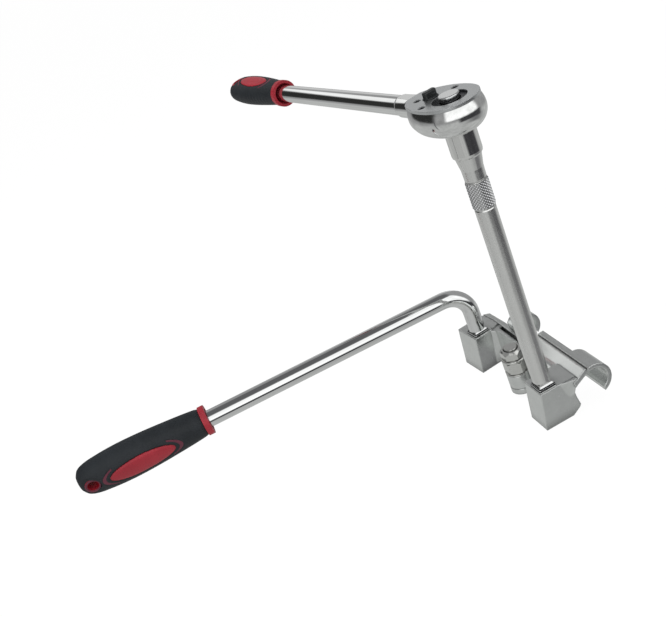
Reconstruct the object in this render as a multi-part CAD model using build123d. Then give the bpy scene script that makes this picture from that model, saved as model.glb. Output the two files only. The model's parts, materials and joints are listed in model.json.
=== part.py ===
from build123d import *
import math
import os

# Two-lever strut and camber wrench: two forged jaw arms pivot on a bolt, an L-bar turns
# the far arm and a ratchet handle on an extension bar turns the near arm.
# Frame: millimetres, Z up, origin on the extension-bar axis at the underside of the near
# jaw block. +X runs from the far block to the near block, +Y is the back, where the hooks are.

os.makedirs("parts", exist_ok=True)

# ---------------------------------------------------------------- driving dimensions
# Jaw blocks; each outline is (X from, X to, front Y), and the sides lean between the two
BLOCK_H = 40.0
NEAR_FOOT, NEAR_TOP = (-19.0, 6.4, -12.0), (-17.5, 9.6, -8.8)
FAR_FOOT, FAR_TOP = (-24.0, 6.4, -12.7), (-22.6, 8.2, -9.4)   # in the far block's own frame
NOSE_Y, NOSE_Z = 24.8, 8.4        # lower jaw nose of the near block
FAR_X, FAR_Y = -121.6, 2.2        # far square socket centre
FAR_ANGLE = 5.7                   # far block angle about Z

# Square drive
DRIVE_SQ = 12.7                   # half-inch square
SOCKET_SQ = 12.9
SOCKET_DEPTH = 20.0               # from the block top
TANG_L = 16.0                     # engaged length of a bar's tang
SHOULDER_H = 5.0                  # bar shoulder above the block top
TANG_LAP = 0.5                    # tang overlap into the shoulder

# Hooks: arc centre, outer radius, plate thickness and extent along X
HOOK_Y, HOOK_Z, HOOK_R, HOOK_T = 41.0, 27.5, 16.0, 3.8
HOOK_X0, HOOK_X1 = -18.0, 13.0
FAR_HOOK_Y, FAR_HOOK_Z, FAR_HOOK_R, FAR_HOOK_T = 35.0, 44.0, 14.5, 4.0
FAR_HOOK_X0, FAR_HOOK_X1 = -94.0, -82.0
PLATE_X0 = -66.0                  # far end of the near arm's ramp plate

# Pivot
PIVOT_X, PIVOT_Y = -57.5, 4.0
BOLT_D = 12.0
BOSS_R = 11.2                     # knuckle bosses around the bolt
KNUCKLE_HALF = 8.5                # half length along X of the knuckle webs
FAR_BOSS_Z0, FAR_BOSS_Z1 = 4.9, 10.9
NEAR_BOSS_Z0, NEAR_BOSS_Z1 = 11.2, 25.4

# Extension bar
BAR_D = 17.0
EXT_L = 242.0                     # block top to ratchet underside
FEMALE_D, FEMALE_L = 24.0, 21.0
BAND_H0, BAND_H1 = 177.0, 200.0   # raised band, above the block top

# L-bar and ratchet handle
LBAR_D = 16.0
LBAR_H = 49.0                     # handle axis above the block top
LBAR_L = 397.5                    # leg axis to grip end
LBAR_ANGLE = 266.5                # handle direction about Z
LBAR_BEND = 24.0                  # bend radius on the rod axis
RATCHET_ANGLE = 191.0             # handle direction about Z
RATCHET_L = 390.0                 # drive axis to grip end
RATCHET_ROD_D = 16.0
HANDLE_H = 13.8                   # handle axis above the ratchet underside
ROD_STOP = 20.0                   # rod end to grip end

# Ratchet head
HEAD_YAW = 4.5                    # turn of the head outline from the handle
HEAD_H = 22.0                     # body height, under the cover plate
COVER_T = 2.2
COVER_GAP = 0.05
WELL_R = 13.6                     # round opening around the button
GEAR_R, GEAR_TEETH, TOOTH_H = 12.0, 36, 1.1
GEAR_Z0, GEAR_Z1 = 5.0, 19.0
SELECTOR_X = 21.2
SELECTOR_Z = 13.5                 # axis height of the selector plunger and spring
NECK_END = 66.0
SPIGOT_R = 5.0
SCREWS = ((12.3, -17.0), (12.3, 17.0), (29.0, 7.0))
DRIVE_BALL_Z = -9.0

# Grips
GRIP_L = 126.0
INLAY_D, INLAY_A, INLAY_B = 61.0, 31.0, 9.5    # distance from butt, half length, half width
HANG_D, HANG_R, RING_R = 12.0, 5.2, 7.6        # distance from butt, hole and ring radius
LBAR_ROLL, RATCHET_ROLL = -101.0, -8.0         # turn of the broad face about the handle

SHOULDER_Z = BLOCK_H + SHOULDER_H
BALL_Z = BLOCK_H - 9.0            # detent in each bar's tang
RATCHET_Z = BLOCK_H + EXT_L       # ratchet underside
LBAR_Z = BLOCK_H + LBAR_H
HEAD_TOP = HEAD_H + COVER_T

AT_RATCHET = Pos(0, 0, RATCHET_Z)
AT_FAR = Pos(FAR_X, FAR_Y, 0)
FAR_TURN = Rot(0, 0, FAR_ANGLE)


# ---------------------------------------------------------------- helpers
def save(shape, name):
    shape.label = name
    export_step(shape, "parts/" + name + ".step")


def soft(shape, edges, radius):
    """Fillet, falling back to smaller radii."""
    for factor in (1.0, 0.7, 0.4, 0.2):
        # the kernel may refuse a radius that does not fit; the next one is tried
        try:
            out = shape.fillet(radius * factor, edges)
            if out.is_valid:
                return out
        except Exception:
            pass
    return shape


def outline(points):
    return make_face(Polyline(*points, close=True))


def prism_x(points, x0, x1):
    """Prism along X from (Y, Z) points."""
    plane = Plane(origin=(x0, 0, 0), x_dir=(0, 1, 0), z_dir=(1, 0, 0))
    return extrude(plane * outline(points), amount=x1 - x0)


def level(z):
    return Plane(origin=(0, 0, z), x_dir=(1, 0, 0), z_dir=(0, 0, 1))


def prism_z(points, z0, z1):
    """Prism along Z from (X, Y) points."""
    return extrude(level(z0) * outline(points), amount=z1 - z0)


def turned(points):
    """Solid of revolution about Z from (radius, Z) points."""
    return revolve(Plane.XZ * outline(points), Axis.Z)


def cyl(z0, z1, radius, x=0, y=0):
    return Pos(x, y, (z0 + z1) / 2) * Cylinder(radius, z1 - z0)


def at_pivot(z0, z1, radius):
    return cyl(z0, z1, radius, PIVOT_X, PIVOT_Y)


def box(x0, x1, y0, y1, z0, z1):
    return Pos((x0 + x1) / 2, (y0 + y1) / 2, (z0 + z1) / 2) * Box(x1 - x0, y1 - y0, z1 - z0)


def along_x(x, z=0):
    """Location that lays a Z-axis solid along X."""
    return Pos(x, 0, z) * Rot(0, 90, 0)


def hex_prism(apothem, height):
    return extrude(RegularPolygon(apothem, 6, major_radius=False), amount=height)


def arc_points(cy, cz, radius, start, end, steps):
    angles = [math.radians(start + (end - start) * i / steps) for i in range(steps + 1)]
    return [(cy + radius * math.cos(a), cz + radius * math.sin(a)) for a in angles]


def hook_outline(cy, cz, radius, thickness, start, tip):
    """Curled (Y, Z) plate; its inner arc stops 6 degrees short of the tip."""
    return (arc_points(cy, cz, radius, start, tip, 30)
            + arc_points(cy, cz, radius - thickness, tip + 6, start, 30))


def one(shape):
    """Largest solid of a boolean result."""
    return sorted(shape.solids(), key=lambda s: s.volume)[-1]


def edges_at(shape, z):
    return [e for e in shape.edges() if abs(e.center().Z - z) < 0.02]


# ---------------------------------------------------------------- jaw blocks
def leaning_block(foot, top, back):
    def section(o, z):
        corners = [(o[0], o[2]), (o[1], o[2]), (o[1], back), (o[0], back)]
        return Plane(origin=(0, 0, z)) * outline(corners)
    return loft([section(foot, 0), section(top, BLOCK_H)], ruled=True)


def round_front(shape, near_radius, far_radius):
    """Rounds the two rising front corners, first at +X, then at -X."""
    for side, radius in ((1, near_radius), (-1, far_radius)):
        corners = [e for e in shape.edges() if e.geom_type == GeomType.LINE
                   and abs(e.tangent_at(0.5).Z) > 0.97
                   and e.center().Y < -8 and e.center().X * side > 0]
        shape = soft(one(shape), corners, radius)
    return shape


def square_socket(z0, z1):
    half = SOCKET_SQ / 2
    return box(-half, half, -half, half, z0, z1)


def block_socket():
    return square_socket(BLOCK_H - SOCKET_DEPTH, BLOCK_H + 1)


def bolt_bore():
    return at_pivot(0, 60, BOLT_D / 2 + 0.05)


def near_jaw_arm():
    block_side = [   # (Y, Z)
        (-14.0, 0), (15.0, 0), (NOSE_Y - 1.5, NOSE_Z - 2.6), (NOSE_Y, NOSE_Z),
        (NOSE_Y - 0.7, NOSE_Z + 2.6), (22.6, 18.0), (21.9, 24.0), (22.4, 30.0),
        (24.4, 35.0), (25.6, BLOCK_H), (-14.0, BLOCK_H)]
    arm = leaning_block(NEAR_FOOT, NEAR_TOP, 30.0) & prism_x(block_side, -30.0, 20.0)
    arm = round_front(arm, 3.0, 3.6)

    # ramp plate: rises to a ridge, dips to a valley, then starts the hook arch; (Y, Z)
    inner_r = HOOK_R - HOOK_T
    arch_y = HOOK_Y + 1.6
    ramp = [(21.0, 36.0), (25.6, 38.0), (34.0, 43.4), (35.0, 43.6), (36.4, 41.0)]
    ramp += arc_points(HOOK_Y, HOOK_Z, HOOK_R, 104, 96, 3)
    ramp += [(arch_y, HOOK_Z + HOOK_R), (arch_y, HOOK_Z + inner_r)]
    ramp += arc_points(HOOK_Y, HOOK_Z, inner_r, 92, 118, 5)
    ramp += [(31.0, 36.2), (25.0, 33.0), (22.0, 31.0)]
    arm = arm + prism_x(ramp, PLATE_X0, HOOK_X1)
    # hook ear that curls over and down
    ear = hook_outline(HOOK_Y, HOOK_Z, HOOK_R, HOOK_T, 100, -66)
    arm = arm + prism_x(ear, HOOK_X0, HOOK_X1)

    # flare that carries the block's +X face out to the end of the ramp plate; (X, Y)
    flare_top = Plane(origin=(0, 0, BLOCK_H - 0.6)) * outline(
        [(6.0, 8.0), (9.5, 10.0), (HOOK_X1, 22.5), (HOOK_X1, 25.3), (6.0, 25.0)])
    flare_low = Plane(origin=(0, 0, 22.0)) * outline(
        [(6.0, 14.0), (8.0, 15.0), (8.3, 19.5), (8.3, 21.4), (6.0, 21.6)])
    arm = arm + loft([flare_low, flare_top], ruled=True)

    # wall behind the pivot, its lower extension, and the web into the block; (Y, Z)
    wall = [(17.5, NEAR_BOSS_Z0), (24.6, NEAR_BOSS_Z0), (26.6, 16.0), (26.6, 35.5),
            (21.0, 37.2), (17.5, 35.0)]
    low_wall = [(17.5, 3.0), (24.6, 3.0), (26.6, 8.0), (26.6, 14.0), (17.5, 14.0)]
    wall_x1 = NEAR_TOP[0] + 3
    arm = arm + prism_x(wall, -70.0, wall_x1)
    arm = arm + prism_x(low_wall, -43.5, wall_x1)
    arm = arm + box(NEAR_TOP[0] - 7.0, wall_x1, 10.0, 24.0, 3.0, 34.0)
    # upper knuckle
    arm = arm + box(PIVOT_X - KNUCKLE_HALF, PIVOT_X + KNUCKLE_HALF, PIVOT_Y, 19.0,
                    NEAR_BOSS_Z0, 17.2)
    arm = arm + at_pivot(NEAR_BOSS_Z0, NEAR_BOSS_Z1, BOSS_R)
    arm = arm - bolt_bore()
    arm = arm - block_socket()
    arm = one(arm)
    top_front = [e for e in arm.edges() if e.geom_type == GeomType.LINE
                 and abs(e.tangent_at(0.5).X) > 0.999
                 and abs(e.center().Z - BLOCK_H) < 0.05 and e.center().Y < -8.0]
    arm = soft(arm, top_front, 0.8)
    return soft(arm, [e for e in edges_at(arm, 0) if e.center().Y < 10], 1.0)


def far_jaw_arm():
    # all outlines here are (X, Y) unless noted
    block_back = [(-22.8, 9.0), (-22.6, 16.6), (-18.4, 22.4), (4.0, 23.0), (6.2, 13.0),
                  (6.2, 9.0)]
    wall = [(-122.0, 8.0), (-115.6, 8.0), (-114.2, 12.0), (-111.4, 15.4), (-106.0, 17.2),
            (-98.0, 17.4), (-78.0, 17.2), (-78.0, 27.4), (-120.0, 27.0), (-139.0, 24.6),
            (-141.0, 14.0)]
    tall_back = [(-143.6, 20.4), (-124.0, 22.6), (-78.0, 22.8), (-78.0, 27.4),
                 (-112.0, 27.6), (-139.8, 25.8)]
    groove = [(-112.0, 20.4), (-70.0, 20.0), (-70.0, 22.8), (-112.0, 22.6)]
    tongue = [(-80.0, 8.0), (-80.0, 27.4), (-52.0, 26.0), (-50.0, 24.0), (-50.0, 12.0)]
    hook_root = [   # (Y, Z)
        (24.6, 36.0), (27.4, 36.0), (28.4, 44.0), (26.6, 52.6), (22.6, 51.0), (23.4, 44.0)]
    far_place = AT_FAR * FAR_TURN

    block = round_front(leaning_block(FAR_FOOT, FAR_TOP, 11.0), 2.2, 3.2)
    block = block + prism_z(block_back, 0, BLOCK_H)
    arm = far_place * one(block)
    arm = arm + prism_z(wall, 2.0, 38.6)
    arm = arm + prism_z(tall_back, 2.0, 41.0)
    arm = arm - prism_z(groove, 34.5, 50.0)
    # lap tongue under the near arm, and the lower knuckle
    arm = arm + prism_z(tongue, 2.0, FAR_BOSS_Z1)
    arm = arm + box(PIVOT_X - KNUCKLE_HALF, PIVOT_X + KNUCKLE_HALF, PIVOT_Y, 16.0,
                    FAR_BOSS_Z0, FAR_BOSS_Z1)
    arm = arm + at_pivot(FAR_BOSS_Z0, FAR_BOSS_Z1, BOSS_R)
    ear = hook_outline(FAR_HOOK_Y, FAR_HOOK_Z, FAR_HOOK_R, FAR_HOOK_T, 150, -48)
    arm = arm + prism_x(ear, FAR_HOOK_X0, FAR_HOOK_X1)
    arm = arm + prism_x(hook_root, FAR_HOOK_X0, FAR_HOOK_X1)
    arm = arm - bolt_bore() - at_pivot(0, 5.0, 8.4)
    arm = arm - far_place * block_socket()
    arm = one(arm)
    return soft(arm, edges_at(arm, 0), 0.8)


save(near_jaw_arm(), "near_jaw_arm")
save(far_jaw_arm(), "far_jaw_arm")

# ---------------------------------------------------------------- pivot bolt, nuts, washers
# Heights of the stack, from the head underside to the bolt tip
HEAD_Z0, HEAD_Z1 = 1.4, 4.9
WASHER_Z, CLAMP_NUT_Z, UPPER_WASHER_Z, LOCK_NUT_Z = 25.5, 26.8, 39.0, 41.8
LOCK_NUT_TOP, BOLT_TIP = 50.4, 51.6
STACK_GAP = 0.05


def pivot_bolt():
    head = turned([(0, HEAD_Z0), (5.6, HEAD_Z0), (7.2, 2.0), (7.9, 3.0), (7.9, HEAD_Z1),
                   (0, HEAD_Z1)])
    bolt = Pos(PIVOT_X, PIVOT_Y, 0) * head + at_pivot(4.0, BOLT_TIP, BOLT_D / 2)
    bolt = soft(bolt, edges_at(bolt, BOLT_TIP), 0.7)
    return one(bolt - Pos(PIVOT_X, PIVOT_Y, HEAD_Z0) * hex_prism(3.4, 2.6))


def stack_hole():
    return at_pivot(0, 60, BOLT_D / 2 + 0.03)


def washer(z0, z1, radius, rounding):
    disc = at_pivot(z0, z1, radius)
    return one(soft(disc, disc.edges().filter_by(GeomType.CIRCLE), rounding) - stack_hole())


def hex_nut(z0, z1, across_flats, dome=0.0):
    """Hexagon with its corners turned off at both ends, and more at a domed top."""
    body = Pos(PIVOT_X, PIVOT_Y, z0) * hex_prism(across_flats / 2, z1 - z0)
    corner_r = across_flats / 2 / math.cos(math.radians(30))
    bevel = 1.4
    envelope = turned([
        (0, z0), (corner_r - bevel * 1.2, z0), (corner_r + 0.2, z0 + bevel * 0.8),
        (corner_r + 0.2, z1 - bevel - dome), (corner_r - bevel * 1.6 - dome * 0.3, z1),
        (0, z1)])
    return (body & (Pos(PIVOT_X, PIVOT_Y, 0) * envelope)) - stack_hole()


def lock_nut():
    mouth = Pos(PIVOT_X, PIVOT_Y, LOCK_NUT_TOP - 0.7) * Cone(BOLT_D / 2, 7.2, 1.6)
    return one(hex_nut(LOCK_NUT_Z, LOCK_NUT_TOP, 19.0, dome=1.8) - mouth)


save(pivot_bolt(), "pivot_bolt")
save(washer(WASHER_Z, CLAMP_NUT_Z - STACK_GAP, 11.3, 0.35), "lower_washer")
save(one(hex_nut(CLAMP_NUT_Z, UPPER_WASHER_Z - STACK_GAP, 19.8)), "clamp_nut")
save(washer(UPPER_WASHER_Z, LOCK_NUT_Z - STACK_GAP, 11.5, 1.0), "upper_washer")
save(lock_nut(), "lock_nut")


# ---------------------------------------------------------------- square tangs and detents
def tang(top, length):
    """Square drive end pointing down from z = top."""
    square = Pos(0, 0, top - length / 2) * Box(DRIVE_SQ, DRIVE_SQ, length)
    square = chamfer(square.edges().group_by(Axis.Z)[0], 1.0)
    return soft(square, [e for e in square.edges() if abs(e.tangent_at(0.5).Z) > 0.999], 1.0)


def bar_tang():
    return tang(SHOULDER_Z + TANG_LAP, TANG_L + SHOULDER_H + TANG_LAP)


def pocket(z, depth=6.5):
    """Cutter for the detent hole in the +Y face of a tang."""
    return Pos(0, DRIVE_SQ / 2 + 0.1 - depth / 2, z) * Rot(90, 0, 0) * Cylinder(1.75, depth)


def coil(start, direction, length, radius, wire_r, turns):
    """Compression spring from start along direction."""
    helix = Helix(pitch=length / turns, height=length, radius=radius)
    section = Plane(origin=helix @ 0, z_dir=helix % 0) * Circle(wire_r)
    spring = sweep(section, path=helix, is_frenet=True)
    return Plane(origin=start, z_dir=Vector(*direction)) * spring


def save_bar_detent(bar, place):
    ball_r = 1.65
    ball = Pos(0, DRIVE_SQ / 2 - ball_r - 0.15, BALL_Z) * Sphere(ball_r)
    spring = coil((0, 0.25, BALL_Z), (0, 1, 0), length=1.7, radius=1.15, wire_r=0.22, turns=3)
    save(place * ball, bar + "_detent_ball")
    save(one(place * spring), bar + "_detent_spring")


# ---------------------------------------------------------------- extension bar and L-bar
def extension_bar():
    bar_r, female_r = BAR_D / 2, FEMALE_D / 2
    band_z0, band_z1 = BLOCK_H + BAND_H0, BLOCK_H + BAND_H1
    female_z = RATCHET_Z - FEMALE_L
    top = RATCHET_Z - 0.4
    bar = turned([   # (radius, Z)
        (0, SHOULDER_Z), (6.3, SHOULDER_Z), (7.9, SHOULDER_Z + 2.2), (8.1, SHOULDER_Z + 14),
        (bar_r, SHOULDER_Z + 40), (bar_r, band_z0 - 1.5), (bar_r - 0.4, band_z0 - 0.6),
        (bar_r - 0.4, band_z1 + 0.6), (bar_r, band_z1 + 1.5), (bar_r + 0.2, band_z1 + 10),
        (bar_r + 1.1, band_z1 + 15.5), (female_r - 1.6, female_z - 0.6),
        (female_r - 0.3, female_z + 0.8), (female_r, female_z + 2.6),
        (female_r, RATCHET_Z - 1.4), (female_r - 0.8, top), (0, top)])
    bar = bar + bar_tang()
    bar = bar - square_socket(RATCHET_Z - 17.0, RATCHET_Z + 1)
    bar = bar - cyl(RATCHET_Z - 19.0, RATCHET_Z, 5.6)
    bar = bar - pocket(BALL_Z)
    # plain raised band
    band = cyl(band_z0, band_z1, bar_r + 0.15) - cyl(band_z0 - 1, band_z1 + 1, bar_r - 0.8)
    return one(bar + band)


def l_bar():
    """Built with its leg on the Z axis, then moved to the far socket."""
    bend_z = LBAR_Z - LBAR_BEND
    cos45 = math.cos(math.radians(45))
    sin45 = math.sin(math.radians(45))
    bend_mid = (LBAR_BEND * (1 - cos45), 0, bend_z + LBAR_BEND * sin45)
    path = Polyline((0, 0, SHOULDER_Z), (0, 0, bend_z)) \
        + ThreePointArc((0, 0, bend_z), bend_mid, (LBAR_BEND, 0, LBAR_Z)) \
        + Line((LBAR_BEND, 0, LBAR_Z), (LBAR_L - ROD_STOP, 0, LBAR_Z))
    start = Plane(origin=(0, 0, SHOULDER_Z), z_dir=(0, 0, 1))
    turn = Rot(0, 0, LBAR_ANGLE)
    bar = turn * sweep(start * Circle(LBAR_D / 2), path=path)
    bar = bar + FAR_TURN * bar_tang()
    bar = bar - FAR_TURN * pocket(BALL_Z)
    # bevel on the rod end
    bevel = Cylinder(20, 4) - Cone(LBAR_D / 2, LBAR_D / 2 - 1.5, 4)
    bar = bar - turn * (along_x(LBAR_L - ROD_STOP - 1, LBAR_Z) * bevel)
    return one(AT_FAR * bar)


save(extension_bar(), "extension_bar")
save_bar_detent("extension", Pos(0, 0, 0))
save(l_bar(), "l_bar")
save_bar_detent("l_bar", AT_FAR * FAR_TURN)

# ---------------------------------------------------------------- grips
# Sections from the butt to the collar: (distance from butt, half width, half thickness)
GRIP_SECTIONS = [
    (0.6, 9.0, 7.2), (4.0, 13.6, 10.5), (12.0, 17.0, 13.0), (24.0, 18.7, 14.3),
    (38.0, 19.7, 15.1), (52.0, 19.9, 15.3), (70.0, 19.3, 14.9), (88.0, 17.9, 14.3),
    (104.0, 16.4, 13.6), (118.0, 14.8, 13.0), (GRIP_L, 13.6, 12.8)]


def grip_size(table, distance):
    """Half width and half thickness, interpolated between stations."""
    if distance <= table[0][0]:
        return table[0][1:]
    for a, b in zip(table, table[1:]):
        if a[0] <= distance <= b[0]:
            t = (distance - a[0]) / (b[0] - a[0])
            return a[1] + t * (b[1] - a[1]), a[2] + t * (b[2] - a[2])
    return table[-1][1:]


def grip_solid(inset, start, end, girth, stretch):
    """Oval loft between two distances from the butt, shrunk by inset."""
    table = [(d * stretch, w * girth - inset, t * girth - inset) for d, w, t in GRIP_SECTIONS]
    stations = sorted({start, end} | {d for d, _, _ in table if start < d < end})
    sections = []
    for d in reversed(stations):
        plane = Plane(origin=(-d, 0, 0), x_dir=(0, 1, 0), z_dir=(1, 0, 0))
        sections.append(plane * Ellipse(*grip_size(table, d)))
    return loft(sections)


def make_grip(rod_d, girth, stretch, inset, collar_r, ring_h):
    """Core, sleeve and inlays; butt at x = 0, handle along -X, wide axis along Y.
    girth and stretch scale the section table, inset is the sleeve thickness."""
    length, hang_x = GRIP_L * stretch, -HANG_D * stretch
    bore_r = rod_d / 2 + 0.05
    outer = grip_solid(0.0, 0.6, length, girth, stretch)
    core = grip_solid(inset, 3.0, length - 1.0, girth, stretch) \
        + along_x(-length - 1.2) * Cylinder(collar_r, 5.6)
    core = core - along_x(-(length + 20 + ROD_STOP) / 2) * Cylinder(
        bore_r, length + 20 - ROD_STOP)
    core = core - along_x(-length - 3.5) * Cone(collar_r - 1.4, bore_r, 5.0)
    core = core + along_x(-length + 6) * (Cylinder(10.0, 6) - Cylinder(bore_r, 6))
    ring = Pos(hang_x, 0, 0) * Cylinder(RING_R, ring_h) & outer
    core = core + ring - Pos(hang_x, 0, 0) * Cylinder(HANG_R, 60)
    core = one(core)

    oval = scale(Circle(1.0), by=(INLAY_A * stretch, INLAY_B * girth, 1.0))
    inlay_zone = Pos(-INLAY_D * stretch, 0, 0) * extrude(oval, amount=40, both=True)
    bore = along_x(-(length + ROD_STOP) / 2) * Cylinder(bore_r, length - ROD_STOP)
    gap_inset = inset + 0.05
    inlays = (outer & inlay_zone) \
        - grip_solid(gap_inset, 2.9, length - 1.0, girth, stretch) - core
    sleeve = outer - grip_solid(gap_inset, 2.9, length + 1.0, girth, stretch) - inlay_zone \
        - Pos(hang_x, 0, 0) * Cylinder(RING_R + 0.05, 60) - core - bore
    sleeve = sleeve - Pos(-length, 0, 0) * Box(4.0, 60, 60)
    return core, sleeve, inlays


def save_grip(name, place, grip):
    core, sleeve, inlays = grip
    save(one(place * core), name + "_core")
    save(one(place * sleeve), name + "_sleeve")
    # the two largest pieces are the inlays of the two broad faces
    pieces = sorted((place * inlays).solids(), key=lambda s: -s.volume)
    save(Compound(children=pieces[:2]), name + "_inlays")


save_grip("l_grip",
          AT_FAR * Rot(0, 0, LBAR_ANGLE) * Pos(LBAR_L, 0, LBAR_Z) * Rot(LBAR_ROLL, 0, 0),
          make_grip(LBAR_D, girth=1.0, stretch=1.0, inset=3.0, collar_r=14.2, ring_h=22.0))
save_grip("ratchet_grip",
          Rot(0, 0, RATCHET_ANGLE) * Pos(RATCHET_L, 0, RATCHET_Z + HANDLE_H)
          * Rot(RATCHET_ROLL, 0, 0),
          make_grip(RATCHET_ROD_D, girth=0.86, stretch=0.873, inset=2.4, collar_r=12.8,
                    ring_h=18.8))

# ---------------------------------------------------------------- ratchet
# Modelled with the handle along +X and the underside at z = 0, then placed
HANDLE_PLACE = AT_RATCHET * Rot(0, 0, RATCHET_ANGLE)
HEAD_PLACE = AT_RATCHET * Rot(0, 0, RATCHET_ANGLE + HEAD_YAW)

# +Y half of the head outline, (X, Y)
EGG = [(-22.7, 0.0), (-20.4, 9.8), (-13.4, 18.2), (-4.0, 22.2), (8.0, 23.1),
       (21.0, 21.0), (30.0, 17.4), (36.4, 13.2), (40.2, 9.4), (42.0, 6.9)]
# Head body sections: (z, scale of Y and of -X, scale of +X)
HEAD_LAYERS = [
    (0.0, 0.70, 0.66), (1.6, 0.83, 0.80), (4.5, 0.955, 0.925), (8.5, 1.045, 0.985),
    (12.5, 1.075, 1.0), (16.5, 1.06, 1.0), (20.0, 1.015, 0.985), (HEAD_H, 0.975, 0.965)]


def egg(girth, reach):
    """Egg outline with a straight handle end; reach scales the handle side along X."""
    upper = [(x * (reach if x > 0 else girth), y * girth) for x, y in EGG]
    lower = [(x, -y) for x, y in reversed(upper)]
    curve = Spline(*(lower + upper[1:]), tangents=((-0.5, -0.85), (0.5, -0.85)))
    return make_face([curve, Line(upper[-1], lower[0])])


def ratchet_head():
    yaw = Rot(0, 0, HEAD_YAW)
    body = yaw * loft([Plane(origin=(0, 0, z)) * egg(k, kx) for z, k, kx in HEAD_LAYERS])
    neck_profile = [   # (X, radius)
        (26.0, 0), (26.0, 9.6), (44.0, 9.6), (52.0, 9.3), (60.0, 9.1), (64.0, 9.1),
        (65.4, 8.6), (NECK_END, 8.2), (NECK_END, 0)]
    neck = Pos(0, 0, HANDLE_H) * revolve(Plane.XY * outline(neck_profile), Axis.X)
    body = body + (neck & Pos(46, 0, HEAD_H / 2) * Box(60, 60, HEAD_H))
    cut = cyl(GEAR_Z0, 40, WELL_R) + cyl(-1, 10, 11.1)
    # pocket for the pawl and selector
    cut = cut + Pos(17.2, 0, SELECTOR_Z) * Box(15.0, 24.0, 12.0)
    cut = cut + cyl(19.4, 40, 6.3, SELECTOR_X) + cyl(6.0, 22, 3.5, SELECTOR_X)
    for x, y in SCREWS:
        cut = cut + cyl(14.0, 40, 1.55, x, y)
    body = body - yaw * cut
    body = body - (along_x(60, HANDLE_H) * Cylinder(SPIGOT_R + 0.05, 40))
    return HANDLE_PLACE * one(body)


def cover_plate():
    plate = Plane(origin=(0, 0, HEAD_H + COVER_GAP)) * extrude(egg(1.0, 1.0), amount=COVER_T)
    plate = soft(plate, plate.edges().group_by(Axis.Z)[-1], 0.6)
    plate = plate - cyl(20, 40, WELL_R) - cyl(20, 40, 6.3, SELECTOR_X)
    for x, y in SCREWS:
        plate = plate - cyl(20, 40, 1.7, x, y) - Pos(x, y, HEAD_TOP - 0.65) * Cone(1.7, 3.2, 1.7)
    return HEAD_PLACE * one(plate)


def cover_screws():
    screws = []
    for x, y in SCREWS:
        screw = cyl(15.0, HEAD_H + 0.9, 1.5, x, y) + Pos(x, y, HEAD_TOP - 1.0) * Cone(
            1.5, 2.6, 1.1)
        cross = Box(3.4, 0.7, 0.9) + Box(0.7, 3.4, 0.9)
        screw = screw - Pos(x, y, HEAD_TOP - 0.8) * cross
        screws.append(HEAD_PLACE * one(screw))
    return Compound(children=screws)


def drive_gear():
    """Toothed rim with hub, square tang and the push-button bore."""
    rim = []
    for i in range(GEAR_TEETH):
        tip = 2 * math.pi * i / GEAR_TEETH
        root = tip + math.pi / GEAR_TEETH
        for radius, angle in ((GEAR_R, tip), (GEAR_R - TOOTH_H, root)):
            rim.append((radius * math.cos(angle), radius * math.sin(angle)))
    gear = prism_z(rim, GEAR_Z0 + 0.1, GEAR_Z1) + cyl(GEAR_Z1 - 0.4, 19.8, 11.4)
    gear = gear + cyl(19.7, HEAD_TOP - 1.5, WELL_R - 0.25) + cyl(-0.1, GEAR_Z0 + 0.5, 11.0)
    gear = gear + tang(0.2, 15.5)
    gear = gear - cyl(9.0, 40, 8.25) - cyl(-14.8, 20, 2.1)
    gear = gear - pocket(DRIVE_BALL_Z, depth=5.0)
    return AT_RATCHET * one(gear)


def release_button():
    button = cyl(24.6, 27.4, 8.0)
    button = soft(button, button.edges().group_by(Axis.Z)[-1], 0.8)
    button = button + cyl(18.3, 24.8, 7.3)
    button = button + cyl(15.8, 18.6, 4.0)
    return AT_RATCHET * one(button)


def release_pin():
    pin = cyl(-11.5, 15.7, 2.0) - Pos(0, 3.1, -6.0) * Box(4.0, 4.0, 3.0)
    return AT_RATCHET * one(pin)


def pawl():
    """Sits on the handle side of the gear, its face just clear of the tooth tips."""
    half_face = [   # (X, Y), mirrored about the X axis
        (13.6, 1.0), (13.2, 2.2), (13.3, 3.0), (12.8, 4.2), (12.9, 5.0), (12.4, 6.2),
        (12.6, 7.0), (12.3, 8.2)]
    back = [(14.4, 9.2), (17.0, 8.0), (17.0, -8.0), (14.4, -9.2)]
    mirrored = [(x, -y) for x, y in reversed(half_face)]
    return HEAD_PLACE * prism_z(mirrored + half_face + back, 7.9, 19.1)


def direction_lever():
    cap_top = 25.2
    lever = cyl(6.3, 20.2, 3.4, SELECTOR_X) + cyl(19.8, cap_top, 6.0, SELECTOR_X)
    lever = soft(lever, edges_at(lever, cap_top), 0.8)
    tab = Pos(SELECTOR_X, 0, 27.2) * Box(5.4, 11.6, 5.2)
    tab = soft(tab, tab.edges().filter_by(Axis.Z), 2.2)
    tab = soft(tab, tab.edges().group_by(Axis.Z)[-1], 1.2)
    lever = lever + tab
    lever = lever - along_x(SELECTOR_X - 1.7, SELECTOR_Z) * Cylinder(1.35, 5.4)
    return HEAD_PLACE * one(lever)


def selector_plunger():
    return HEAD_PLACE * one(along_x(SELECTOR_X - 2.0, SELECTOR_Z) * Cylinder(1.28, 1.4)
                            + Pos(SELECTOR_X - 2.7, 0, SELECTOR_Z) * Sphere(1.27))


def ratchet_handle_rod():
    """Handle rod with a spigot that enters the neck."""
    start, end = NECK_END + 0.1, RATCHET_L - ROD_STOP
    rod = along_x((start + end) / 2, HANDLE_H) * Cylinder(RATCHET_ROD_D / 2, end - start)
    rod = soft(rod, [e for e in rod.edges() if e.geom_type == GeomType.CIRCLE], 1.0)
    rod = rod + along_x(54.0, HANDLE_H) * Cylinder(SPIGOT_R, 26.0)
    return HANDLE_PLACE * one(rod)


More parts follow.
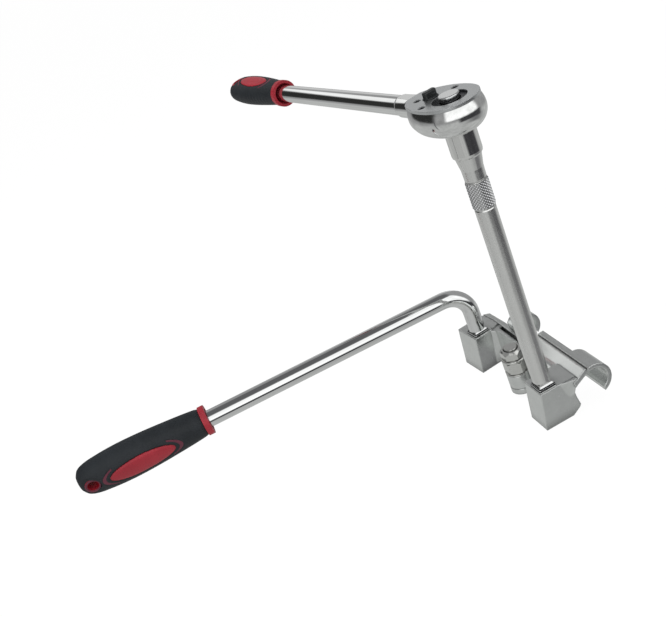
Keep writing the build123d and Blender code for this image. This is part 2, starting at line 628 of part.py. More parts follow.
for piece in (ratchet_head, cover_plate, cover_screws, drive_gear, release_button,
              release_pin, pawl, direction_lever, selector_plunger, ratchet_handle_rod):
    save(piece(), piece.__name__)

button_spring = coil((0, 0, 9.6), (0, 0, 1), length=8.1, radius=6.2, wire_r=0.5, turns=4)
save(one(AT_RATCHET * button_spring), "button_spring")
selector_spring = coil((SELECTOR_X - 1.0, 0, SELECTOR_Z), (1, 0, 0),
                       length=1.7, radius=0.95, wire_r=0.2, turns=3)
save(one(HEAD_PLACE * selector_spring), "selector_spring")
drive_ball = Pos(0, DRIVE_SQ / 2 - 1.8, DRIVE_BALL_Z) * Sphere(1.6)
save(AT_RATCHET * drive_ball, "drive_detent_ball")
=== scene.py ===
"""Ratchet on an upright extension bar, beside an L-shaped lever, both with moulded grips.

The extension bar stands on the z axis and the lever's bar stands at LEVER_X, LEVER_Y.
Both handles lie level: the lever's points towards -y, the ratchet's towards -x.
Shapes are worked out in millimetres and stored in metres. The table is at z = 0.
"""
import bpy
import bmesh
import json
import math
from mathutils import Matrix, Vector


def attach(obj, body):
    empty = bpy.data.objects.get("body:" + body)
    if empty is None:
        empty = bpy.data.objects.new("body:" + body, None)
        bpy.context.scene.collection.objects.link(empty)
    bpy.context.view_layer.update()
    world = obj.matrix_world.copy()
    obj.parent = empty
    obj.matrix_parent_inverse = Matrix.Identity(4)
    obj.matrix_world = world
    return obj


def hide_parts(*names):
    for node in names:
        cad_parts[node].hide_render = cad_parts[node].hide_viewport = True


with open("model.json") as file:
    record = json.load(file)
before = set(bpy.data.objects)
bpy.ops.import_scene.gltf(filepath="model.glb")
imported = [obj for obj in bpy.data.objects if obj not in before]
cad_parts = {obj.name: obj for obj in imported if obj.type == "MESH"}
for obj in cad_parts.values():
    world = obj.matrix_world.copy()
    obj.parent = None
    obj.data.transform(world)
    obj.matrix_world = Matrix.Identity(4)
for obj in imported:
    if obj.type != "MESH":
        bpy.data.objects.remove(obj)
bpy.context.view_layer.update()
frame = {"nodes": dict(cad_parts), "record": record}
scene = bpy.context.scene

MM = 0.001
LEVER_X, LEVER_Y = -121.6, 2.2   # axis of the lever's upright bar


# ------------------------------------------------------------------ camera
def build_camera():
    position = (0.58309, -0.23340, 0.50083)
    right = (0.32704580482240053, 0.8732691548679399, -0.3611675853455052)
    up = (-0.3446245000303107, 0.4660773916803438, 0.8148655219993703)
    back = (0.8799289718647336, -0.14203115193746024, 0.45337860155987886)
    data = bpy.data.cameras.new("cam")
    data.sensor_width = 36.0
    data.lens = 47.844
    data.clip_start = 0.05
    data.clip_end = 50
    camera = bpy.data.objects.new("cam", data)
    scene.collection.objects.link(camera)
    turn = Matrix((right, up, back)).transposed().to_4x4()
    camera.matrix_world = Matrix.Translation(position) @ turn
    scene.camera = camera


build_camera()
scene.view_settings.view_transform = "Standard"
scene.view_settings.look = "None"
scene.view_settings.exposure = 0.0
scene.view_settings.gamma = 1.0


# ------------------------------------------------------------------ shader helpers
class Graph:
    """Short ways to build a node tree. Any value may be a number, a colour or a socket."""

    def __init__(self, tree):
        self.tree = tree

    def put(self, socket, value):
        if isinstance(value, bpy.types.NodeSocket):
            self.tree.links.new(value, socket)
        else:
            socket.default_value = value

    def new(self, kind, inputs=None, **properties):
        """Adds a node; inputs maps socket names or indices to values."""
        node = self.tree.nodes.new(kind)
        for key, value in properties.items():
            setattr(node, key, value)
        for key, value in (inputs or {}).items():
            self.put(node.inputs[key], value)
        return node

    def math(self, operation, a, b=None, clamp=False):
        node = self.new("ShaderNodeMath", {0: a}, operation=operation, use_clamp=clamp)
        if b is not None:
            self.put(node.inputs[1], b)
        return node.outputs[0]

    def blend(self, a, a_weight, b, b_weight):
        return self.math("ADD", self.math("MULTIPLY", a, a_weight),
                         self.math("MULTIPLY", b, b_weight))

    def step(self, x, start, end):
        """Smooth change from 0 at start to 1 at end; start may be the larger."""
        falls = start > end
        inputs = {0: x, 1: min(start, end), 2: max(start, end),
                  3: float(falls), 4: float(not falls)}
        return self.new("ShaderNodeMapRange", inputs,
                        interpolation_type="SMOOTHSTEP").outputs[0]

    def remap(self, x, source, target):
        """Linear map of the source range onto the target range, clamped."""
        inputs = {0: x, 1: source[0], 2: source[1], 3: target[0], 4: target[1]}
        return self.new("ShaderNodeMapRange", inputs).outputs[0]

    def band(self, x, low, high, soft):
        """1 between low and high, falling to 0 outside, with soft edges."""
        return self.math("MULTIPLY", self.step(x, low - soft, low + soft),
                         self.step(x, high + soft, high - soft))

    def mix(self, factor, a, b):
        return self.new("ShaderNodeMix", {0: factor, 6: a, 7: b}, data_type="RGBA").outputs[2]

    def noise(self, vector, scale, detail=3.0, rough=0.5):
        inputs = {"Vector": vector, "Scale": scale, "Detail": detail, "Roughness": rough}
        return self.new("ShaderNodeTexNoise", inputs).outputs[0]


def shade(value, tint=(1.0, 1.0, 1.0)):
    return tuple(value * channel for channel in tint) + (1.0,)


# ------------------------------------------------------------------ studio, by direction
TABLE = shade(0.46, tint=(1.0, 1.01, 1.0))
# Each panel covers those before it. "az" is world azimuth, -180..180 degrees; "rear" is
# azimuth less 30 degrees, 0..360, so that panels at the -x side don't straddle its wrap.
# Columns: azimuth kind, from, to, softness; elevation from, to, softness; value, tint.
PANELS = [
    ("az", -185, 185, 1, -14, 95, 6, 0.30, (1, 1, 1.01)),
    ("az", -185, 185, 1, 56, 95, 9, 0.115, (1, 1, 1.04)),
    ("az", 18, 84, 30, -46, -22, 6.0, 0.16, (1, 1, 1.03)),
    ("az", -14, 74, 9, -27, -7, 3.0, 0.045, (1, 1, 1.08)),
    ("az", -60, 62, 8, -4, 50, 4.5, 1.10, (1, 1, 1)),
    ("rear", 168, 232, 9, -4, 24.0, 4.0, 0.028, (1, 1.02, 1.0)),
    ("rear", 154, 182, 4, 25.0, 38, 2.2, 0.98, (1, 1, 1)),
    ("rear", 118, 146, 7, 2, 22, 5, 0.62, (1, 1, 1)),
    ("az", -99.5, -96.5, 1.0, -32, 10, 4, 0.10, (1, 1, 1.05)),
]


def build_studio():
    """Node group that gives the colour of the surroundings in a direction."""
    degrees = 57.29578   # per radian
    tree = bpy.data.node_groups.new("studio", "ShaderNodeTree")
    tree.interface.new_socket("Dir", in_out="INPUT", socket_type="NodeSocketVector")
    tree.interface.new_socket("Color", in_out="OUTPUT", socket_type="NodeSocketColor")
    g = Graph(tree)
    direction = g.new("NodeGroupInput").outputs[0]
    x, y, z = g.new("ShaderNodeSeparateXYZ", {0: direction}).outputs
    azimuth = g.math("MULTIPLY", g.math("ARCTAN2", y, x), degrees)
    elevation = g.math("MULTIPLY", g.math("ARCSINE", z), degrees)
    rear = g.math("FLOORED_MODULO", g.math("ADD", azimuth, 330.0), 360.0)
    angles = {"az": azimuth, "rear": rear}
    colour = TABLE
    for kind, az_from, az_to, az_soft, el_from, el_to, el_soft, value, tint in PANELS:
        mask = g.math("MULTIPLY", g.band(angles[kind], az_from, az_to, az_soft),
                      g.band(elevation, el_from, el_to, el_soft))
        colour = g.mix(mask, colour, shade(value, tint))
    # slow variation, so that mirror surfaces don't look like flat stripes
    uneven = g.noise(direction, scale=3.2, detail=4.0, rough=0.55)
    gain = g.remap(uneven, source=(0.25, 0.75), target=(0.80, 1.20))
    scaled = g.new("ShaderNodeVectorMath", {0: colour, 3: gain}, operation="SCALE")
    g.new("NodeGroupOutput", {0: scaled.outputs[0]})
    return tree


def build_world():
    """The studio for reflections, plain grey for diffuse light, white for the camera."""
    world = bpy.data.worlds.new("studio_world")
    scene.world = world
    world.use_nodes = True
    world.node_tree.nodes.clear()
    g = Graph(world.node_tree)
    direction = g.new("ShaderNodeTexCoord").outputs["Generated"]
    ray = g.new("ShaderNodeLightPath").outputs
    surroundings = g.new("ShaderNodeGroup", {"Dir": direction}, node_tree=studio).outputs[0]
    colour = g.mix(ray["Is Glossy Ray"], shade(0.62), surroundings)
    colour = g.mix(ray["Is Camera Ray"], colour, shade(1.0))
    background = g.new("ShaderNodeBackground", {"Color": colour, "Strength": 1.0})
    g.new("ShaderNodeOutputWorld", {"Surface": background.outputs[0]})


studio = build_studio()
build_world()


# ------------------------------------------------------------------ floor and lights
def floor_material():
    """Near white to the eye; glossy rays see the studio in its place."""
    material = bpy.data.materials.new("floor_white")
    material.use_nodes = True
    material.node_tree.nodes.clear()
    g = Graph(material.node_tree)
    ray = g.new("ShaderNodeLightPath").outputs
    geometry = g.new("ShaderNodeNewGeometry").outputs
    outward = g.new("ShaderNodeVectorMath", {0: geometry["Incoming"], 3: -1.0},
                    operation="SCALE").outputs[0]
    surroundings = g.new("ShaderNodeGroup", {"Dir": outward}, node_tree=studio).outputs[0]
    mottle = g.noise(geometry["Position"], scale=60.0, detail=4.0)
    diffuse = g.new("ShaderNodeBsdfDiffuse", {"Color": g.mix(mottle, shade(0.05), shade(0.06))})
    glow = g.new("ShaderNodeEmission", {"Color": shade(1.0), "Strength": 0.96})
    seen = g.new("ShaderNodeAddShader", {0: diffuse.outputs[0], 1: glow.outputs[0]})
    mirrored = g.new("ShaderNodeEmission", {"Color": surroundings, "Strength": 1.0})
    surface = g.new("ShaderNodeMixShader", {0: ray["Is Glossy Ray"], 1: seen.outputs[0],
                                            2: mirrored.outputs[0]})
    g.new("ShaderNodeOutputMaterial", {"Surface": surface.outputs[0]})
    return material


def build_floor():
    bm = bmesh.new()
    bmesh.ops.create_grid(bm, x_segments=8, y_segments=8, size=14.0)
    mesh = bpy.data.meshes.new("floor")
    bm.to_mesh(mesh)
    bm.free()
    floor = bpy.data.objects.new("floor", mesh)
    scene.collection.objects.link(floor)
    floor.location = (0.0, 0.0, -0.0003)   # just clear of what stands on it
    mesh.materials.append(floor_material())
    return floor


build_floor()

# Columns: name, location, target, width, height (metres), power (watts).
LIGHTS = [
    ("top_soft", (0.1, -0.1, 1.5), (-0.1, -0.1, 0.1), 1.8, 1.8, 16.0),
    ("front_soft", (1.2, -0.9, 0.7), (-0.1, -0.1, 0.15), 1.1, 0.9, 5.0),
    ("left_soft", (-0.6, -1.3, 0.7), (-0.1, -0.1, 0.1), 0.9, 0.9, 4.0),
]
for name, location, target, width, height, power in LIGHTS:
    lamp = bpy.data.lights.new(name, "AREA")
    lamp.shape = "RECTANGLE"
    lamp.size = width
    lamp.size_y = height
    lamp.energy = power
    light = bpy.data.objects.new(name, lamp)
    scene.collection.objects.link(light)
    light.location = location
    aim = Vector(target) - Vector(location)
    light.rotation_euler = aim.to_track_quat("-Z", "Y").to_euler()
    light.visible_glossy = False
    light.visible_camera = False


# ------------------------------------------------------------------ materials
MATERIALS = {}


def start_material(name):
    """Registers a material; gives its graph, its shader and its object coordinates."""
    material = bpy.data.materials.new(name)
    material.use_nodes = True
    MATERIALS[name] = material
    g = Graph(material.node_tree)
    shader = material.node_tree.nodes["Principled BSDF"]
    return g, shader, g.new("ShaderNodeTexCoord").outputs["Object"]


def openness(g, distance, samples):
    """0 in tight corners, 1 on open surfaces; it masks the painted corner shade."""
    occlusion = g.new("ShaderNodeAmbientOcclusion", {"Distance": distance}, samples=samples)
    return g.step(occlusion.outputs["AO"], start=0.3, end=0.9)


def metal(name, colour, rough, grain=900.0, bump=0.02, streak=None, corner_shade=0.25,
          edge=0.0, satin_range=None, corner=0.004):
    """Metal with blotchy wear, fine grain, scratches and painted shade in the corners.

    rough: least and greatest roughness. streak: noise scaling that draws the grain out.
    edge: rounding of edges in shading. satin_range: heights outside which it is polished.
    corner: reach of the painted shade. corner_shade: how much darker the corners are painted.
    Lengths are in metres.
    """
    g, shader, coords = start_material(name)
    shader.inputs["Metallic"].default_value = 1.0
    blotch = g.noise(coords, scale=26.0, detail=5.0, rough=0.6)
    fine = g.noise(coords, scale=grain, detail=2.0, rough=0.6)
    wear = g.blend(blotch, 0.6, fine, 0.4)
    # painted shade: corners that ambient occlusion finds closed in are darkened by corner_shade
    unshaded = openness(g, corner, samples=6)
    base = g.mix(g.step(wear, start=0.3, end=0.7), shade(0.95, colour), shade(1.04, colour))
    shader_colour = g.mix(unshaded, shade(1 - corner_shade, colour), base)
    g.put(shader.inputs["Base Color"], shader_colour)

    roughness = g.remap(wear, source=(0.3, 0.7), target=rough)
    if streak:
        stretched = g.new("ShaderNodeMapping", {"Vector": coords, "Scale": streak}).outputs[0]
        drawn = g.noise(stretched, scale=420.0, detail=3.0, rough=0.6)
        centred = g.math("SUBTRACT", drawn, 0.5)
        roughness = g.math("ADD", roughness, g.math("MULTIPLY", centred, 0.10))
        relief = g.blend(drawn, 0.6, fine, 0.4)
    else:
        relief = g.blend(fine, 0.7, blotch, 0.5)

    # sparse handling scratches along cell borders
    cells = g.new("ShaderNodeTexVoronoi", {"Vector": coords, "Scale": 34.0},
                  feature="DISTANCE_TO_EDGE")
    scratch = g.math("MULTIPLY", g.step(cells.outputs["Distance"], start=0.012, end=0.0),
                     g.step(blotch, start=0.5, end=0.62))
    if satin_range:
        bottom, top = satin_range
        z = g.new("ShaderNodeSeparateXYZ", {0: coords}).outputs[2]
        below = g.step(z, start=bottom + 0.002, end=bottom - 0.001)
        above = g.step(z, start=top - 0.012, end=top)
        for polished, gain in ((below, 0.2), (above, 0.4)):
            factor = g.remap(polished, source=(0.0, 1.0), target=(1.0, gain))
            roughness = g.math("MULTIPLY", roughness, factor)
    g.put(shader.inputs["Roughness"],
          g.math("ADD", roughness, g.math("MULTIPLY", scratch, 0.08), clamp=True))

    height = g.math("SUBTRACT", relief, g.math("MULTIPLY", scratch, 0.3))
    bumps = g.new("ShaderNodeBump", {"Strength": bump, "Distance": 0.0004, "Height": height})
    if edge:
        bevel = g.new("ShaderNodeBevel", {"Radius": edge}, samples=6)
        g.put(bumps.inputs["Normal"], bevel.outputs[0])
    g.put(shader.inputs["Normal"], bumps.outputs[0])
    return g, shader, shader_colour


def polymer(name, colour, light_colour, rough, bump=0.25, specular=0.45, coat=0.0):
    """Plastic or rubber, blotched between two colours, with fine surface grain and painted
    shade in the corners.
    """
    g, shader, coords = start_material(name)
    blotch = g.noise(coords, scale=40.0, detail=4.0, rough=0.55)
    fine = g.noise(coords, scale=1600.0, detail=2.0, rough=0.5)
    # painted shade: closed-in corners are darkened to 0.6 of the colour
    unshaded = openness(g, 0.003, samples=4)
    base = g.mix(g.step(blotch, start=0.3, end=0.7), shade(1.0, colour),
                 shade(1.0, light_colour))
    g.put(shader.inputs["Base Color"], g.mix(unshaded, shade(0.6, colour), base))
    wear = g.blend(blotch, 0.5, fine, 0.5)
    g.put(shader.inputs["Roughness"], g.remap(wear, source=(0.3, 0.7), target=rough))
    shader.inputs["Specular IOR Level"].default_value = specular
    if coat:
        shader.inputs["Coat Weight"].default_value = coat
        shader.inputs["Coat Roughness"].default_value = 0.25
    height = g.math("ADD", fine, g.math("MULTIPLY", blotch, 0.6))
    bumps = g.new("ShaderNodeBump", {"Strength": bump, "Distance": 0.00025, "Height": height})
    g.put(shader.inputs["Normal"], bumps.outputs[0])


metal("forged_steel", (0.80, 0.82, 0.805), rough=(0.17, 0.27), bump=0.035, grain=160.0,
      corner_shade=0.70, edge=0.0018, corner=0.016)
metal("chrome_steel", (0.88, 0.89, 0.885), rough=(0.035, 0.075), bump=0.006, grain=1500.0,
      corner_shade=0.2, edge=0.0003)
metal("satin_chrome", (0.86, 0.865, 0.85), rough=(0.21, 0.29), bump=0.03,
      streak=(6.0, 6.0, 0.25), corner_shade=0.35, edge=0.0003, satin_range=(0.044, 0.258))
metal("head_chrome", (0.86, 0.87, 0.86), rough=(0.05, 0.10), bump=0.008, grain=1200.0,
      corner_shade=0.2, edge=0.0005)
metal("plate_satin", (0.66, 0.68, 0.685), rough=(0.26, 0.36), bump=0.10, grain=1300.0,
      corner_shade=0.4, edge=0.0004)
metal("button_chrome", (0.80, 0.81, 0.81), rough=(0.10, 0.18), bump=0.04, grain=1300.0,
      corner_shade=0.5, edge=0.0006)
metal("zinc_steel", (0.74, 0.745, 0.72), rough=(0.12, 0.22), bump=0.04, corner_shade=0.5, edge=0.0006)
metal("black_steel", (0.055, 0.058, 0.066), rough=(0.30, 0.45), bump=0.10, corner_shade=0.5,
      edge=0.0005)
metal("bearing_steel", (0.85, 0.85, 0.85), rough=(0.05, 0.10), bump=0.01)
metal("spring_steel", (0.42, 0.42, 0.42), rough=(0.25, 0.35), bump=0.05)
polymer("red_plastic", (0.25, 0.006, 0.016), (0.30, 0.009, 0.021), rough=(0.38, 0.52),
        coat=0.05)
polymer("black_rubber", (0.010, 0.0125, 0.015), (0.015, 0.0185, 0.022), rough=(0.50, 0.68),
        bump=0.45, specular=0.32)
polymer("black_plastic", (0.012, 0.014, 0.015), (0.02, 0.022, 0.022), rough=(0.25, 0.4),
        bump=0.2)
polymer("plum", (0.085, 0.012, 0.028), (0.11, 0.016, 0.034), rough=(0.45, 0.6), bump=0.3)


def knurl_material():
    """Chrome with painted shade in the valleys, by the mesh's depth attribute (1 at the peaks).
    """
    g, shader, chrome = metal("knurl", (0.88, 0.89, 0.90), rough=(0.10, 0.18), bump=0.02,
                              grain=1500.0, corner_shade=0.3)
    depth = g.new("ShaderNodeAttribute", attribute_name="depth").outputs["Fac"]
    # painted shade: near-black colour down in the knurl's valleys
    valley_shade = shade(0.06, tint=(1, 1, 1.1))
    g.put(shader.inputs["Base Color"],
          g.mix(g.step(depth, start=0.15, end=0.75), valley_shade, chrome))


knurl_material()

# CAD pieces whose material differs from the one on record
OVERRIDES = {"ratchet_head": "head_chrome", "cover_plate": "plate_satin",
             "release_button": "button_chrome"}
RECORDED = {}
for part in frame["record"]["subparts"]:
    RECORDED.setdefault(part["node"], part.get("material_slot"))
for name, piece in frame["nodes"].items():
    material = MATERIALS[OVERRIDES.get(name) or RECORDED.get(name, "zinc_steel")]
    if len(piece.material_slots) == 0:
        piece.data.materials.append(material)
    for slot in piece.material_slots:
        slot.material = material


# ------------------------------------------------------------------ mesh helpers
def add_mesh(name, vertices, faces, material, body, smooth=True):
    """Adds a mesh object (vertices in metres) that rides on a CAD body."""
    mesh = bpy.data.meshes.new(name)
    mesh.from_pydata(vertices, [], faces)
    mesh.update()
    bm = bmesh.new()
    bm.from_mesh(mesh)
    bmesh.ops.recalc_face_normals(bm, faces=bm.faces)
    bm.to_mesh(mesh)
    bm.free()
    if smooth:
        mesh.polygons.foreach_set("use_smooth", [True] * len(mesh.polygons))
    mesh.materials.append(MATERIALS[material])
    piece = bpy.data.objects.new(name, mesh)
    scene.collection.objects.link(piece)
    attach(piece, body)
    return piece


def grid_faces(rows, columns, closed=True):
    """Quads between rows of points; each row is a loop, and closed joins last to first."""
    faces = []
    for i in range(rows if closed else rows - 1):
        this, following = i * columns, (i + 1) % rows * columns
        for j in range(columns):
            k = (j + 1) % columns
            faces.append([this + j, this + k, following + k, following + j])
    return faces


def smooth_rise(x, low, high):
    t = min(max((x - low) / (high - low), 0.0), 1.0)
    return t * t * (3 - 2 * t)


# ------------------------------------------------------------------ grips
# Columns: distance from the butt, half width, half thickness.
GRIP_SECTIONS = [
    (0.0, 8.0, 6.4), (4.0, 13.6, 10.5), (12.0, 17.0, 13.0), (24.0, 18.7, 14.3),
    (38.0, 19.7, 15.1), (52.0, 19.9, 15.3), (70.0, 19.3, 14.9), (88.0, 17.9, 14.3),
    (104.0, 16.4, 13.6), (118.0, 14.6, 13.0), (126.0, 13.1, 12.5),
]
GRIP_LENGTH = GRIP_SECTIONS[-1][0]
BUTT_GAP, COLLAR_GAP = 0.35, 2.0   # the sleeve stops short of the sections by these
GRIP_STEPS, GRIP_SIDES = 360, 224
HOLE_DISTANCE = 12.0               # hang hole's centre from the butt
HOLE_CUT_RADIUS = 7.5
INLAY_DISTANCE, INLAY_HALF_LENGTH, INLAY_HALF_WIDTH = 61.0, 31.0, 9.5
INLAY_EDGE = 1.04                  # ratio to the inlay's ellipse where it meets the sleeve
GROOVE_RATIO = 1.05                # ratio where the groove is deepest
OUTER_LENGTHS, OUTER_WIDTHS = 1.22, 1.42   # crescents' ellipse, in sizes of the inlay's
OFF_FACE = 9.0                     # ratio given to points on the flanks
FLUTE_START, FLUTE_PITCH = 60, 7.0
# Depths and heights of the relief
GROOVE_DEPTH, INLAY_RISE, CRESCENT_DEPTH = 0.75, 0.35, 0.35
FLUTE_DEPTH, COLLAR_DEPTH, DISH_DEPTH = 0.28, 0.35, 0.7


def grip_frame(x, y, yaw, reach, height, roll):
    """Frame with its origin at the butt, a reach out from the upright axis at x, y."""
    return (Matrix.Translation((x, y, 0)) @ Matrix.Rotation(math.radians(yaw), 4, "Z")
            @ Matrix.Translation((reach, 0, height))
            @ Matrix.Rotation(math.radians(roll), 4, "X"))


# girth and length scale the grip; wall is its thickness; mouth is the hang hole's half depth
GRIPS = [
    dict(prefix="l_grip", body="l_lever", girth=1.0, length=1.0, wall=2.5, mouth=11.0,
         frame=grip_frame(LEVER_X, LEVER_Y, yaw=266.5, reach=397.5, height=89.0, roll=-101.0)),
    dict(prefix="ratchet_grip", body="ratchet", girth=0.86, length=0.873, wall=2.1, mouth=8.5,
         frame=grip_frame(0, 0, yaw=191.0, reach=390.0, height=295.8, roll=-8.0)),
]


def grip_section(distance):
    """Half width and half thickness at a distance from the butt, by cubic interpolation."""
    last = len(GRIP_SECTIONS) - 1
    i = next(n for n in range(last) if distance <= GRIP_SECTIONS[n + 1][0])
    before, after = GRIP_SECTIONS[max(i - 1, 0)], GRIP_SECTIONS[min(i + 2, last)]
    a, b = GRIP_SECTIONS[i], GRIP_SECTIONS[i + 1]
    span = b[0] - a[0]
    t = (distance - a[0]) / span
    sizes = []
    for k in (1, 2):
        slope_a = (b[k] - before[k]) / (b[0] - before[0]) * span
        slope_b = (after[k] - a[k]) / (after[0] - a[0]) * span
        sizes.append((2 * t**3 - 3 * t**2 + 1) * a[k] + (t**3 - 2 * t**2 + t) * slope_a
                     + (-2 * t**3 + 3 * t**2) * b[k] + (t**3 - t**2) * slope_b)
    return sizes


def inlay_ratios(distance, y, sine):
    """Where a point lies along the inlay, on its ellipse and on the crescents' (1 = edge)."""
    along = abs(distance - INLAY_DISTANCE) / INLAY_HALF_LENGTH
    if abs(sine) <= 0.15:
        return along, OFF_FACE, OFF_FACE
    return (along, math.hypot(along, y / INLAY_HALF_WIDTH),
            math.hypot(along / OUTER_LENGTHS, y / (INLAY_HALF_WIDTH * OUTER_WIDTHS)))


def grip_relief(distance, y, cosine, sine, along, inner, outer):
    """Height of the moulded surface above the plain section."""
    height = -GROOVE_DEPTH * (1 - smooth_rise(abs(inner - GROOVE_RATIO), low=0.0, high=0.075))
    height += INLAY_RISE * (1 - smooth_rise(inner, low=0.75, high=1.0))
    height -= (CRESCENT_DEPTH * (1 - smooth_rise(abs(outer - 1.0), low=0.04, high=0.085))
               * smooth_rise(along, low=0.8, high=0.92))
    # shallow finger flutes on the flanks
    flank = smooth_rise(abs(cosine), low=0.80, high=0.98)
    wave = 0.5 - 0.5 * math.cos(2 * math.pi * (distance - FLUTE_START) / FLUTE_PITCH)
    height -= (flank * FLUTE_DEPTH * wave
               * smooth_rise(distance, low=FLUTE_START, high=FLUTE_START + 6)
               * (1 - smooth_rise(distance, low=108, high=114)))
    # lowered band at the collar end
    height -= COLLAR_DEPTH * smooth_rise(distance, low=GRIP_LENGTH - 5.0,
                                         high=GRIP_LENGTH - 2.6)
    # dish round the hang hole, on both faces
    if abs(sine) > 0.3:
        from_hole = math.hypot(distance - HOLE_DISTANCE, y)
        height -= DISH_DEPTH * (1 - smooth_rise(from_hole, low=8.6, high=10.6))
    return height


def grip_grid(grip):
    """Surface points, axis points, and per point: inlay ratio, crescent flag, hole distance."""
    place, girth, length = grip["frame"], grip["girth"], grip["length"]
    points, axis, marks = [], [], []
    for i in range(GRIP_STEPS + 1):
        distance = BUTT_GAP + (GRIP_LENGTH - BUTT_GAP - COLLAR_GAP) * i / GRIP_STEPS
        half_width, half_thick = grip_section(distance)
        axis.append(place @ Vector((-distance * length, 0, 0)))
        point_row, mark_row = [], []
        for j in range(GRIP_SIDES):
            angle = 2 * math.pi * j / GRIP_SIDES
            cosine, sine = math.cos(angle), math.sin(angle)
            y, z = half_width * cosine, half_thick * sine
            along, inner, outer = inlay_ratios(distance, y, sine)
            height = grip_relief(distance, y, cosine, sine, along, inner, outer)
            norm = math.hypot(cosine / half_width, sine / half_thick)
            y_out = y + (cosine / half_width) / norm * height
            z_out = z + (sine / half_thick) / norm * height
            point_row.append(place @ Vector((-distance * length, y_out * girth,
                                             z_out * girth)))
            from_hole = 99.0   # flanks are never cut
            if abs(sine) > 0.2:
                from_hole = math.hypot((distance - HOLE_DISTANCE) * length, y * girth)
            crescent = along > 0.86 and abs(outer - 1.0) < 0.055
            mark_row.append((inner, crescent, from_hole))
        points.append(point_row)
        marks.append(mark_row)
    return points, axis, marks


def sort_cells(marks):
    """Shares the grid's cells out among the grip's three parts, leaving the hang hole open."""
    parts = {"sleeve": [], "inlay": [], "crescent": []}
    for i in range(GRIP_STEPS):
        for j in range(GRIP_SIDES):
            k = (j + 1) % GRIP_SIDES
            corners = [(i, j), (i + 1, j), (i + 1, k), (i, k)]
            ratios, crescents, from_hole = zip(*(marks[a][b] for a, b in corners))
            if sum(from_hole) / 4 < HOLE_CUT_RADIUS:
                continue
            if sum(ratios) / 4 < INLAY_EDGE:
                parts["inlay"].append(corners)
            elif all(crescents):
                parts["crescent"].append(corners)
            else:
                parts["sleeve"].append(corners)
    return parts


def shell(name, cells, points, axis, thickness, material, body):
    """Closes cells of the grid into a thin solid by an inner copy and side walls."""
    indices, vertices, faces, borders = {}, [], [], {}

    def vertex(corner, inner):
        key = (corner, inner)
        if key not in indices:
            i, j = corner
            point = points[i][j]
            if inner:
                outward = point - axis[i]
                radius = outward.length
                point = point - outward * (min(thickness, radius * 0.6) / radius)
            indices[key] = len(vertices)
            vertices.append(tuple(point * MM))
        return indices[key]

    for corners in cells:
        faces.append([vertex(corner, False) for corner in corners])
        faces.append([vertex(corner, True) for corner in reversed(corners)])
        for side in zip(corners, corners[1:] + corners[:1]):
            borders.setdefault(frozenset(side), []).append(side)
    for sides in borders.values():
        if len(sides) == 1:
            a, b = sides[0]
            faces.append([vertex(b, False), vertex(a, False), vertex(a, True),
                          vertex(b, True)])
    return add_mesh(name, vertices, faces, material, body)


def build_grip(grip):
    """Rubber sleeve, grooved inlays and the crescents beyond the inlays' ends."""
    prefix, body, wall = grip["prefix"], grip["body"], grip["wall"]
    points, axis, marks = grip_grid(grip)
    parts = sort_cells(marks)
    sleeve = shell(prefix + "_sleeve_moulded", parts["sleeve"], points, axis,
                   thickness=wall, material="black_rubber", body=body)
    inlays = shell(prefix + "_inlay_moulded", parts["inlay"], points, axis,
                   thickness=wall - 0.2, material="red_plastic", body=body)
    shell(prefix + "_crescent_marks", parts["crescent"], points, axis,
          thickness=1.5, material="plum", body=body)
    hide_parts(prefix + "_sleeve")
    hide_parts(prefix + "_inlays")


def build_hang_rings(grip):
    """Raised lip round both mouths of the hang hole, lathed from a small profile."""
    segments = 72
    # radius, height from the mouth
    profile = [(5.25, -2.5), (5.25, -0.5), (5.55, 0.35), (6.2, 0.75), (6.9, 0.55),
               (7.45, -0.1), (7.45, -2.5)]
    place = grip["frame"] @ Matrix.Translation((-HOLE_DISTANCE * grip["length"], 0, 0))
    for side, suffix in ((1, "a"), (-1, "b")):
        vertices = []
        for i in range(segments):
            angle = 2 * math.pi * i / segments
            for radius, rise in profile:
                point = Vector((radius * math.cos(angle), radius * math.sin(angle),
                                side * (grip["mouth"] + rise)))
                vertices.append(tuple((place @ point) * MM))
        add_mesh(grip["prefix"] + "_hang_ring_" + suffix, vertices,
                 grid_faces(segments, len(profile)), "plum", grip["body"])


for grip in GRIPS:
    build_grip(grip)
for grip in GRIPS:
    build_hang_rings(grip)


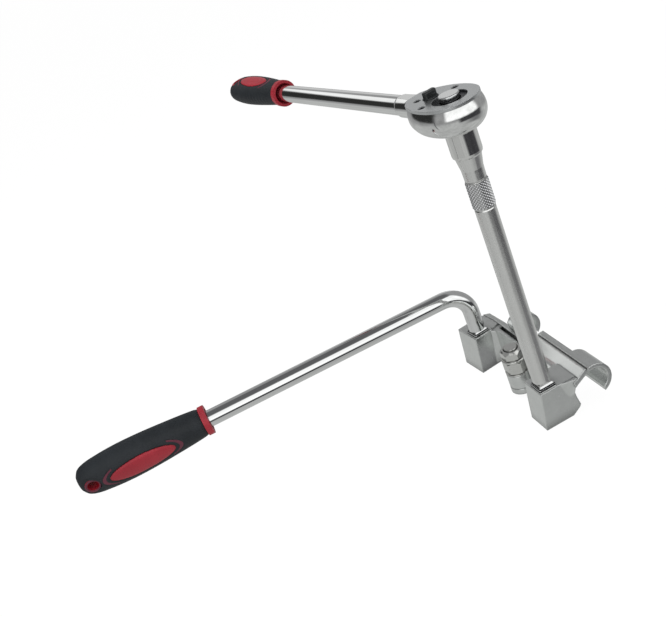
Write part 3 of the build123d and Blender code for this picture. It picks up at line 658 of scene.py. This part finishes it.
# ------------------------------------------------------------------ extension bar's knurl
def build_knurl():
    """Band of raised diamonds, closed by a plain inner wall."""
    diamonds_round, diamonds_high, steps = 20, 9, 8   # steps across each diamond
    root_radius, peak, inner_radius = 8.45, 0.75, 8.3
    bottom, top = 217.2, 239.8
    columns, bands = diamonds_round * steps, diamonds_high * steps

    def triangle(x):
        return 1 - abs((x % 1.0) - 0.5) * 2

    def vertex(i, j, radius):
        angle = 2 * math.pi * j / columns
        return (radius * math.cos(angle) * MM, radius * math.sin(angle) * MM,
                (bottom + (top - bottom) * i / bands) * MM)

    vertices = []
    for i in range(bands + 1):
        fade_in = smooth_rise(i / bands, low=0, high=0.03)
        fade_out = 1 - smooth_rise(i / bands, low=0.97, high=1)
        for j in range(columns):
            u, v = j / steps, i / steps
            height = min(triangle(u + v), triangle(u - v))
            height = min(height * 1.5, 1.0) * peak * fade_in * fade_out   # flat-topped
            vertices.append(vertex(i, j, root_radius + height))
    inner_low = len(vertices)
    inner_high = inner_low + columns
    outer_high = bands * columns
    for i in (0, bands):
        for j in range(columns):
            vertices.append(vertex(i, j, inner_radius))

    faces = grid_faces(bands + 1, columns, closed=False)
    for j in range(columns):
        k = (j + 1) % columns
        faces.append([j, inner_low + j, inner_low + k, k])
        faces.append([outer_high + j, outer_high + k, inner_high + k, inner_high + j])
        faces.append([inner_low + j, inner_high + j, inner_high + k, inner_low + k])
    knurl = add_mesh("extension_knurl", vertices, faces, "knurl", "extension", smooth=False)
    depth = knurl.data.attributes.new("depth", "FLOAT", "POINT")
    for i, point in enumerate(knurl.data.vertices):
        height = math.hypot(point.co.x, point.co.y) / MM - root_radius
        depth.data[i].value = min(1.0, max(0.0, height / peak))


build_knurl()


# ------------------------------------------------------------------ square shoulders
# Columns: half side, corner radius, height. The last point joins back to the first.
SHOULDER_PROFILE = [
    (5.2, 0.8, 40.02), (8.15, 1.1, 40.02), (8.15, 1.1, 40.75), (7.1, 0.9, 40.85),
    (7.1, 0.9, 41.55), (7.85, 1.0, 41.65), (7.75, 1.0, 42.5), (6.9, 0.9, 42.6),
    (6.9, 0.9, 43.4), (7.3, 1.0, 43.5), (6.35, 1.2, 44.9), (5.2, 0.8, 45.8),
]
# painted shade: the recess bands are given near-black steel to stand for their shade
SHADED_RECESS_BANDS = (2, 3, 4, 6, 7, 8)   # profile segments that form the two recesses
SHOULDER_CORNERS = ((1, 1, 0), (-1, 1, 90), (-1, -1, 180), (1, -1, 270))   # x, y, angle
CORNER_POINTS, CORNER_STEP = 7, 15   # points per corner, degrees between them


def build_shoulder(name, body, x, y, yaw):
    """Stepped, chamfered square shoulder where a round bar runs out into its square drive."""
    place = Matrix.Translation((x, y, 0)) @ Matrix.Rotation(math.radians(yaw), 4, "Z")
    vertices = []
    for half, radius, z in SHOULDER_PROFILE:
        for x_sign, y_sign, start in SHOULDER_CORNERS:
            for i in range(CORNER_POINTS):
                angle = math.radians(start + CORNER_STEP * i)
                point = Vector((x_sign * (half - radius) + radius * math.cos(angle),
                                y_sign * (half - radius) + radius * math.sin(angle), z))
                vertices.append(tuple((place @ point) * MM))
    columns = len(SHOULDER_CORNERS) * CORNER_POINTS
    shoulder = add_mesh(name, vertices, grid_faces(len(SHOULDER_PROFILE), columns),
                        "chrome_steel", body, smooth=False)
    # near-black steel on the recess bands is painted shade
    shoulder.data.materials.append(MATERIALS["black_steel"])
    for face in shoulder.data.polygons:
        if face.index // columns in SHADED_RECESS_BANDS:
            face.material_index = 1


build_shoulder("extension_square_shoulder", "extension", 0.0, 0.0, yaw=0.0)
build_shoulder("l_bar_square_shoulder", "l_lever", LEVER_X, LEVER_Y, yaw=5.7)
